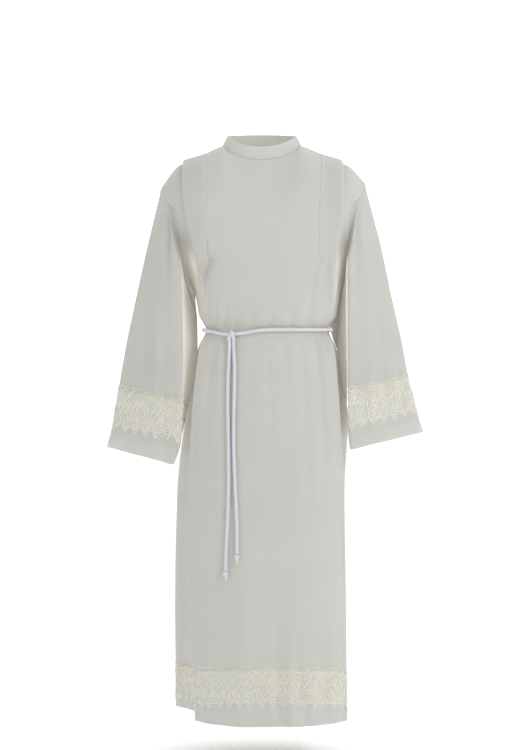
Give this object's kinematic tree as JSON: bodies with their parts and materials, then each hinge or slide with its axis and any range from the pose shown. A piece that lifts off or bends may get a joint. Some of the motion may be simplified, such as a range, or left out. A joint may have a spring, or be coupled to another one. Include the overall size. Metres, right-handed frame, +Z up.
{
  "type": "alb with cincture",
  "caption": "White pleated alb in its worn, hollow form, with wide sleeves, a narrow stand collar, ivory lace bands at cuffs and hem, and a white rope cincture tied at the waist.",
  "frame": {"origin": "base of the neck, midway between the shoulders that carry the garment", "axes": "+Z up along the garment's length, the front faces -Y, +X is to the right of someone facing the front"},
  "size_m": [0.7576, 0.3422, 1.4009],
  "materials": {
    "cloth": "matte fine plain weave, white",
    "lace": "raised ivory lace",
    "rope": "soft white twisted cord"
  },
  "bodies": {
    "root": {"front": "cloth", "back": "cloth", "sleeve_left": "cloth", "sleeve_right": "cloth", "collar": "cloth", "lace_hem_front": "lace", "lace_hem_back": "lace", "lace_sleeve_left": "lace", "lace_sleeve_right": "lace", "cincture_waist": "rope", "cincture_knot": "rope", "cincture_tail_a": "rope", "cincture_end_a": "rope", "cincture_tail_b": "rope", "cincture_end_b": "rope"}
  },
  "joints": []
}
